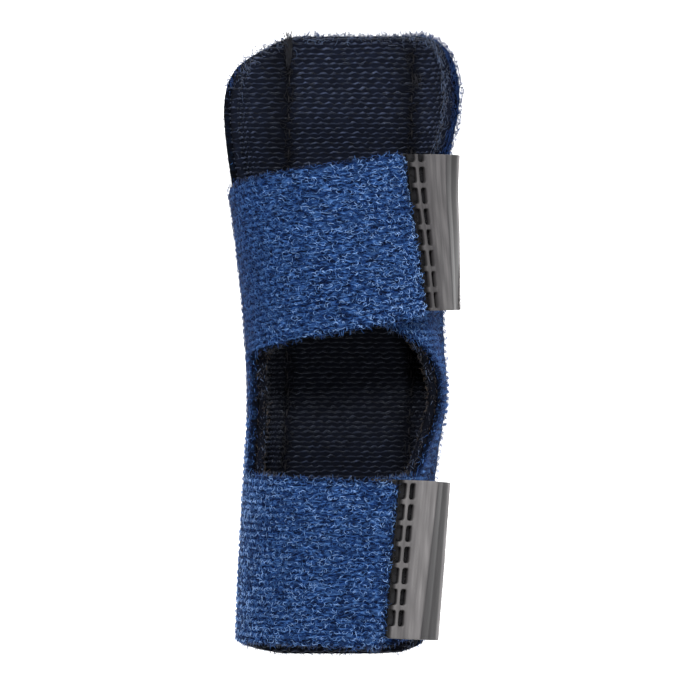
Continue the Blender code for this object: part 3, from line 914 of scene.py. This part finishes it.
def curls(p, length, bend, rise, low, points, radius, heading=None):
    """Curved fibres on the sheet: each an arc lying in the cloth's plane that lifts in its middle.

    They head every way where no heading is given.
    """
    count = len(p)
    t = np.linspace(0, 1, points)
    heading = rng.uniform(0, TURN, count) if heading is None else heading
    angle = heading[:, None] + bend[:, None] * (t - 0.5)
    angle = angle + 0.35 * rng.normal(size=(count, 1)) * np.sin(TURN * t)
    s, v = walked(angle, length)
    s += p[:, :1] - s.mean(axis=1, keepdims=True)
    v += p[:, 1:] - v.mean(axis=1, keepdims=True)
    lift = np.sin(math.pi * t) ** 0.8
    height = low[:, None] + rise[:, None] * lift + 0.03 * rng.normal(size=(count, points))
    thick = radius[:, None] * (0.45 + 0.55 * lift)
    return s, v, height, thick


def pile_loops(ring):
    """The pile: a dense mass of darker curls and, standing higher, fewer bright ones."""
    everywhere = loop_places(ring)
    bright = rng.uniform(0, 1, len(everywhere)) < BRIGHT_SHARE
    for kind, p, steps in (("mass", everywhere[~bright], 4), ("crest", everywhere[bright], 5)):
        count, crest = len(p), kind == "crest"
        s, v = p.T
        flank, palm = smooth_flank(s), palm_side(s)
        length = rng.uniform(*LOOP_LENGTHS, count)
        bend = rng.choice([-1.0, 1.0], count) * rng.uniform(*LOOP_BENDS, count)
        rise = rng.uniform(0.24, 0.44, count) if crest else rng.uniform(0.10, 0.28, count)
        base = rng.uniform(0.02, 0.14, count) if crest else rng.uniform(-0.06, 0.08, count)
        base = base - ground_depth(s)
        rise *= (1 - 0.75 * flank) * (1 - 0.75 * palm)
        heading = rng.normal(0, 1.5, count) + math.pi * rng.integers(0, 2, count)
        radius = rng.uniform(*LOOP_RADII, count)
        around, along, height, thick = curls(p, length, bend, rise, base, steps, radius, heading)
        height = np.where(palm[:, None] > 0.02, np.minimum(height, -0.06), height)
        paths = roll(around, along, height).reshape(count, steps, 3)
        # Random lightness per curl, with the higher crest curls drawn lighter as painted highlight and the
        # low mass darker as painted shade among the loops.
        shade = rng.uniform(0.58, 1.0, count) if crest else rng.uniform(0.04, 0.60, count)
        # Painted shade on the upper strap's left flank, painted light on the lower strap's left flank, and
        # painted light on the lower strap and the upper strap's end.
        shade = shade * (1 + (0.10 - 0.40 * upper_part(v)) * flank) * painted_strap_light(s, v)
        # Nearly black on the fingertip end's left flank, and painted shade on the right flank.
        shade = shade * (1 - 0.93 * tip_left(s, v)) * (1 - 0.26 * right_flank(s))
        # Painted shade: each curl is drawn darker at both ends, where it goes down into the cloth.
        shade = shade[:, None] * (0.55 + 0.45 * np.sin(math.pi * np.linspace(0.1, 0.9, steps)) ** 0.8)
        order = rng.permutation(count)
        share = math.ceil(count * (6 * steps - 4) / MOST_TRIANGLES)
        for k in range(share):
            own = order[k::share]
            points, faces = tubes(paths[own], thick[own])
            tint = np.repeat(shade[own].ravel(), 3)
            new_mesh(f"pile_{kind}_{k + 1}", points, faces, pile_yarn, tint)


# Cut edges


def edge_fuzz(name, ring, count, depths, lengths, tints, look, where, inset):
    """Short fibres that stand out from the cut edge, between two depths of the laminate.

    where gives the share of the tries kept at each point, and inset is how far inside the edge the farthest
    fibre starts.
    """
    a, b = ring, np.roll(ring, -1, axis=0)
    spans = np.linalg.norm(b - a, axis=1)
    pick = rng.choice(len(ring), count, p=spans / spans.sum())
    t = rng.uniform(0, 1, (count, 1))
    p = a[pick] * (1 - t) + b[pick] * t
    along = (b - a)[pick] / spans[pick][:, None]
    outwards = np.stack([along[:, 1], -along[:, 0]], axis=1)
    keep = where(p) > rng.uniform(0, 1, count)
    p, along, outwards = p[keep], along[keep], outwards[keep]
    count = len(p)
    steps = 5
    t = np.linspace(0, 1, steps)
    length = rng.uniform(*lengths, count)
    lean = rng.normal(0, 0.75, count)
    curl = rng.normal(0, 1.3, count)
    forward, beside = walked(lean[:, None] + curl[:, None] * t, length)
    forward = forward - rng.uniform(min(0.25, inset), inset + 1e-9, (count, 1))
    flat = p[:, None] + forward[..., None] * outwards[:, None] + beside[..., None] * along[:, None]
    height = rng.uniform(*depths, count)[:, None] + rng.normal(0, 0.25, (count, 1)) * t
    height = np.where(np.abs(flat[..., 0]) < HALF_PALM + 2.5, np.minimum(height, -0.08), height)
    thick = rng.uniform(0.028, 0.05, (count, 1)) * (1 - 0.6 * t)
    shade = np.repeat(rng.uniform(*tints, count), steps * 3)
    points, faces = rolled_tubes(flat[..., 0], flat[..., 1], height, thick)
    return new_mesh(name, points, faces, look, shade)


# Hook tapes

HOOKS_AT_END, HOOKS_IN_HOLES = 360, 240


def hook_tape(name, strap):
    """Strip of tape and the small hooks that show at the strap's end and through the tab's holes."""
    h = TAB_LENGTH / 2
    near, far = -HOOK_TAPE_LAP, HOOK_TAPE_WIDTH - HOOK_TAPE_LAP
    ring = np.array([(near, -h), (far, -h), (far, h), (near, h)])
    outer = -SHELL_THICKNESS - LAYER_GAP

    def place(p, depth, upper):
        flat = strap.place(*p.T)
        edge = 0.12 * (1 - ease(depth / 0.25))
        if upper:
            shown = ease((p[:, 0] + 0.4) / 0.5) * 0.12
            return roll(*flat.T, outer + shown - edge + 0.04 * wobble(*p.T, 0.7, 51))
        return roll(*flat.T, outer - LINING_THICKNESS + edge)

    def tint(p, depth, upper):
        return 0.35 + 0.2 * wobble(*p.T, 0.8, 53)

    fill = grid_points(near, far, -h, h, 0.45, 0.5)
    tape = plate(name, [ring], fill, place, hook_plastic, tint, 0.45, crease=45)
    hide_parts(name)

    count, steps = HOOKS_AT_END + HOOKS_IN_HOLES, 5
    beyond = np.concatenate([rng.uniform(-0.3, 0.62, HOOKS_AT_END), rng.uniform(0.6, 3.6, HOOKS_IN_HOLES)])
    across = rng.uniform(-h + 0.1, h - 0.1, count)
    t = np.linspace(0, 1, steps)
    heading = rng.uniform(0, TURN, count)[:, None]
    bow = rng.uniform(0.16, 0.30, (count, 1))
    top = rng.uniform(0.30, 0.62, (count, 1))
    top[HOOKS_AT_END:] *= 0.7
    x = beyond[:, None] + np.cos(heading) * bow * (1 - np.cos(t * 3.6)) * 0.5
    y = across[:, None] + np.sin(heading) * bow * (1 - np.cos(t * 3.6)) * 0.5
    up = outer + 0.02 + top * np.sin(np.clip(t * 2.4, 0, 2.6))
    flat = strap.place(x.ravel(), y.ravel())
    points, faces = rolled_tubes(*flat.T, up.ravel(), np.full((count, steps), 0.045))
    # Random lightness per hook; the lightest stand for the tape's glints, painted highlight.
    shade = np.repeat(rng.uniform(0.3, 1.0, count), steps * 3)
    new_mesh(name.replace("tape", "field"), points, faces, hook_plastic, shade)


# Pull tabs

# How light the tab's plastic is drawn from the grid to the lip: its own grey up to the crease, darker beyond
# it as painted shade, and lighter at the lip as a painted highlight
TAB_TONE_AND_PAINTED_LIGHT = np.array([
    # share, tint
    (-0.50, 0.68),
    (-0.06, 0.64),
    (0.02, 0.72),
    (0.22, 0.77),
    (0.35, 0.76),
    (0.39, 0.47),
    (0.60, 0.38),
    (0.84, 0.36),
    (0.92, 0.80),
    (1.00, 0.93),
])
BEVEL = 0.13
HOLE_RADIUS = 0.34


def tab_rings(first_hole):
    """Outline of the flat tab and of its holes; a hole that runs off the end is a notch in the outline."""
    h = TAB_LENGTH / 2
    notches, holes = [], []
    top = h - first_hole
    while top - HOLE_HEIGHT > -h + GRID_FOOT:
        for column in range(HOLE_COLUMNS):
            left = TAB_STANDOFF + GRID_BAR + column * (HOLE_WIDTH + GRID_RAIL)
            right, base, r = left + HOLE_WIDTH, top - HOLE_HEIGHT, HOLE_RADIUS
            if top > h:
                notches.append((left, right, base))
            else:
                box = [(left, base, r), (right, base, r), (right, top, r), (left, top, r)]
                holes.append(rounded(box, math.radians(22.5)))
        top -= HOLE_PITCH
    outline = [(TAB_STANDOFF, -h, 0.7), (TAB_WIDTH, -h, 0.25), (TAB_WIDTH, h, 0.25)]
    for left, right, base in reversed(notches):
        outline += [(right, h, 0.05), (right, base, HOLE_RADIUS), (left, base, HOLE_RADIUS), (left, h, 0.05)]
    outline += [(TAB_STANDOFF, h, 0.1)]
    return [rounded(outline, math.radians(22.5))] + holes


def pull_tab(name, strap, first_hole, slant, painted_tab_light):
    """Moulded tab on its hook tape.

    slant moves the flap's crease towards the grid at the base end, and the last argument is painted light:
    how light the plastic is drawn on this tab.
    """
    rings = tab_rings(first_hole)
    h = TAB_LENGTH / 2
    holes_end = TAB_STANDOFF + GRID_BAR + HOLE_COLUMNS * (HOLE_WIDTH + GRID_RAIL) - GRID_RAIL
    shoulder = holes_end + GRID_RAIL

    def shares(p):
        share = (p[:, 0] - shoulder) / (TAB_WIDTH - shoulder)
        share = share - slant * p[:, 1] / h * ease(share / 0.3) * ease((0.9 - share) / 0.4)
        lift = TAB_LIP_LIFT * np.interp(share, TAB_PROFILE[:, 0], TAB_PROFILE[:, 1])
        flap = TAB_THICKNESS * np.interp(share, TAB_PROFILE[:, 0], TAB_PROFILE[:, 2])
        rise = np.clip((p[:, 0] - holes_end) / (shoulder - holes_end), 0.0, 1.0)
        return share, lift, GRID_THICKNESS + (flap - GRID_THICKNESS) * ease(rise)

    def place(p, depth, upper):
        share, lift, thick = shares(p)
        flat = strap.place(*p.T)
        round_off = BEVEL * (1 - np.sqrt(np.clip(1 - (1 - np.clip(depth / BEVEL, 0, 1)) ** 2, 0, 1)))
        if upper:
            return roll(*flat.T, -SHELL_THICKNESS + lift + thick - round_off)
        return roll(*flat.T, -SHELL_THICKNESS + lift + 0.5 * round_off)

    def tint(p, depth, upper):
        share = shares(p)[0]
        zone = np.interp(share, *TAB_TONE_AND_PAINTED_LIGHT.T)
        # Painted shade: the grid's left bar beside the hook tape is drawn nearly black.
        shaded_bar = ease((TAB_STANDOFF + GRID_BAR + HOLE_WIDTH * 0.6 - p[:, 0]) / 0.5)
        zone = zone * (1 - 0.95 * shaded_bar)
        worn = 0.10 * wobble(p[:, 0], p[:, 1] * 0.15, 0.8, 61) * zone
        # Painted highlight: the lip keeps its full light even on a tab drawn darker.
        rim = ease((share - 0.86) / 0.08)
        # The tab's underside is drawn half as light: painted shade.
        return (zone + worn) * (1.0 if upper else 0.5) * (painted_tab_light + (1 - painted_tab_light) * rim)

    rim = []
    for ring in rings:
        fine = split_long(ring, 0.28)
        ahead = np.roll(fine, -1, axis=0) - np.roll(fine, 1, axis=0)
        ahead /= np.linalg.norm(ahead, axis=1, keepdims=True)
        inwards = np.stack([-ahead[:, 1], ahead[:, 0]], axis=1)
        for off in (0.035, 0.12):
            for hand in (1, -1):
                rim.append(fine + hand * off * inwards)
    rim = np.concatenate(rim)
    rim = rim[within(rim, rings)]
    rim = rim[edge_distance(rim, rings) > 0.018]
    fill = np.concatenate([
        rim,
        grid_points(TAB_STANDOFF, shoulder + 0.5, -h, h, 0.24, 0.26),
        grid_points(shoulder + 0.5, TAB_WIDTH, -h, h, 0.24, 0.62),
    ])
    far = edge_distance(fill, rings)
    fill = np.concatenate([fill[: len(rim)], fill[len(rim):][far[len(rim):] > 0.16]])
    tab = plate(name, rings, fill, place, tab_plastic, tint, 0.28, crease=50)
    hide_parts(name)


# Seams

LOOSE_FIBRES = 420  # along each seam
LEFT_TUFT, RIGHT_TUFT = 50, 16


def seam_threads():
    """Stitches, loose thread and puckered fibres along the two seams of the palm panel."""
    parts, tints = [], []
    steps = 6
    t = np.linspace(0, 1, steps)
    for side in (-1, 1):
        v0 = np.arange(SEAM_MARGIN, SPLINT_LENGTH - SEAM_MARGIN, STITCH_PITCH)
        count = len(v0)
        v = v0[:, None] + 0.95 * (t - 0.5) + 0.15 * rng.normal(size=(count, 1))
        s = side * HALF_PALM + seam_wander(v, side) + 0.05 * rng.normal(size=(count, 1))
        out = INNER + 0.30 - 0.16 * np.sin(math.pi * t) + 0 * v
        parts.append(rolled_tubes(s, v, out, np.full((count, steps), 0.10), 5))
        tints.append(np.full(count * steps * 5, 0.05))
        count = LOOSE_FIBRES
        beside = side * HALF_PALM + rng.normal(0, 0.42, count)
        p = np.stack([beside, rng.uniform(0.5, SPLINT_LENGTH - 1, count)], axis=1)
        ss, vv, hh, rr = curls(
            p, rng.uniform(0.5, 1.5, count), rng.normal(0, 2.2, count), -rng.uniform(0.05, 0.30, count),
            np.full(count, INNER + 0.22), steps, rng.uniform(0.025, 0.045, count),
        )
        parts.append(rolled_tubes(ss, vv, hh, rr))
        tints.append(np.repeat(rng.uniform(0.0, 0.5, count) ** 2, steps * 3))
    points, faces = joined(parts)
    new_mesh("seam_threads", points, faces, stitch_yarn, np.concatenate(tints))


def thread_tuft():
    """The tuft of thread ends at the top of the left seam, and a smaller one on the right seam."""
    count, steps = LEFT_TUFT + RIGHT_TUFT, 9
    t = np.linspace(0, 1, steps)
    s0 = np.concatenate([rng.normal(-8.0, 0.14, LEFT_TUFT), rng.normal(8.6, 0.3, RIGHT_TUFT)])
    v0 = np.concatenate([rng.uniform(75.6, 78.4, LEFT_TUFT), rng.uniform(73.0, 74.6, RIGHT_TUFT)])
    length = np.concatenate([rng.uniform(1.4, 4.0, LEFT_TUFT), rng.uniform(0.6, 1.6, RIGHT_TUFT)])
    lean = rng.normal(0.02, 0.10, count)
    s = s0[:, None] + length[:, None] * t * np.sin(lean)[:, None]
    s = s + 0.12 * np.sin(t * rng.uniform(2, 7, (count, 1)))
    v = np.minimum(v0[:, None] + length[:, None] * t, SPLINT_LENGTH + 1.2)
    lift = 0.45 * np.sin(math.pi * np.clip(t * 0.8 + 0.1, 0, 1)) * rng.uniform(0.4, 1.2, (count, 1))
    radii = rng.uniform(0.035, 0.070, (count, 1)) * (1 - 0.45 * t)
    points, faces = rolled_tubes(s, v, INNER + 0.15 - lift, radii)
    shade = np.repeat(rng.uniform(0.0, 0.55, count), steps * 3)
    new_mesh("seam_thread_tuft", points, faces, stitch_yarn, shade)


# Where the cut edges are fuzzy


def by_window(p):
    """1 at the window's cut edges on both sides."""
    level = (p[:, 1] > WINDOW_BASE - 0.5) & (p[:, 1] < WING_SPLIT + 1.5)
    side = (np.abs(p[:, 0]) > arc(NOTCH_LEFT) - 4) & (np.abs(p[:, 0]) < arc(NOTCH_RIGHT) + 6)
    return np.where(level & side, 1.0, 0.0)


def tip_edge(p):
    """1 along the fingertip end from its left corner to the right flank, where the cut pile stands out."""
    far = (p[:, 1] > WING_TOP - 0.5) & (p[:, 0] > -arc(TIP_EDGE) + 0.8)
    return np.where(far, 0.35 + 0.65 * ease((p[:, 0] - 4) / 6), 0.0)


def rough_edge(p):
    """1 at every cut edge but the smooth left flank's at the fingertip end."""
    smooth = (p[:, 1] > WING_TOP - 3) & (p[:, 0] < -arc(TIP_EDGE) + 0.8)
    return np.where(smooth, 0.12, 1.0)


# The splint

pile_ring = rounded(sheet_corners(0.0))
lining_ring = rounded(sheet_corners(HOOK_TAPE_LAP + SEAM_GAP))
pile = pile_sheet(pile_ring)
lining = lining_sheet(lining_ring)
lining_ribs(lining_ring)
pile_loops(pile_ring)
for place_name, strap, first_hole in STRAPS:
    hook_tape(place_name + "_hook_tape", strap)
    # The upper tab is drawn darker than the lower one: painted shade on the same plastic.
    slant, painted_tab_light = (0.075, 1.0) if place_name == "lower" else (0.06, 0.82)
    pull_tab(place_name + "_pull_tab", strap, first_hole, slant, painted_tab_light)
seam_threads()
thread_tuft()

FUZZ = (
    # name, ring, tries, depths, lengths, tints, look, where, inset
    ("edge_fuzz_blue", pile_ring, 1800, (-1.1, -0.3), (0.35, 0.8), (0.15, 0.75), pile_yarn, rough_edge, 0.25),
    ("edge_fuzz_tip", pile_ring, 13500, (-1.6, -0.1), (0.6, 1.5), (0.0, 0.31), pile_yarn, tip_edge, 0.3),
    ("tip_fuzz_band", lining_ring, 10500, (-2.8, -1.8), (0.5, 1.3), (0.1, 0.9), edge_yarn, tip_edge, 1.4),
    ("edge_fuzz_navy", lining_ring, 1200, (-2.4, -1.4), (0.4, 0.9), (0.1, 0.95), edge_yarn, rough_edge, 0.25),
    ("window_overlock", lining_ring, 7500, (-2.7, -0.9), (0.4, 0.9), (0.1, 1.0), stitch_yarn, by_window, 0.7),
)
for name, ring, *fibres in FUZZ:
    edge_fuzz(name, ring, *fibres)

# Floor, lights and camera, in metres

FLOOR_HALF = 1.5
FLOOR_DROP = 0.00002  # keeps the floor just below the splint
FLOOR_GLOW = 0.8
ROOM_LIGHT = 0.30
AIM = (0, 0, 0.008)
CAMERA_PLACE = (0.0, -0.00065, 1.5)
CAMERA_LENS = 594.4


def floor():
    """Plain white floor."""
    mesh = bpy.data.meshes.new("floor")
    corners = [(x * FLOOR_HALF, y * FLOOR_HALF, -FLOOR_DROP) for x, y in ((-1, -1), (1, -1), (1, 1), (-1, 1))]
    mesh.from_pydata(corners, [], [(0, 1, 2, 3)])
    made, tree, shader = surface_material("floor_white", 0.9, specular=0.1)
    shader.inputs["Base Color"].default_value = (0.95, 0.95, 0.95, 1)
    shader.inputs["Emission Color"].default_value = (1, 1, 1, 1)
    shader.inputs["Emission Strength"].default_value = FLOOR_GLOW
    mesh.materials.append(made)
    obj = bpy.data.objects.new("floor", mesh)
    bpy.context.scene.collection.objects.link(obj)


def area_light(name, place, size, power):
    """Round soft light aimed at the splint."""
    data = bpy.data.lights.new(name, "AREA")
    data.shape = "DISK"
    data.size = size
    data.energy = power
    obj = bpy.data.objects.new(name, data)
    obj.location = place
    obj.rotation_euler = (Vector(AIM) - Vector(place)).to_track_quat("-Z", "Y").to_euler()
    bpy.context.scene.collection.objects.link(obj)


floor()
area_light("key", (-0.02, 0.26, 0.46), 0.12, 5.0)
area_light("fill", (0.16, -0.15, 0.44), 0.14, 1.9)

scene = bpy.context.scene
world = bpy.data.worlds.new("studio")
world.use_nodes = True
background = world.node_tree.nodes["Background"]
background.inputs["Color"].default_value = (1, 1, 1, 1)
background.inputs["Strength"].default_value = ROOM_LIGHT
scene.world = world
scene.view_settings.view_transform = "Standard"

camera_data = bpy.data.cameras.new("camera")
camera_data.sensor_width = 36.0
camera_data.lens = CAMERA_LENS
camera_data.clip_start = 0.01
camera = bpy.data.objects.new("camera", camera_data)
camera.location = CAMERA_PLACE
scene.collection.objects.link(camera)
scene.camera = camera
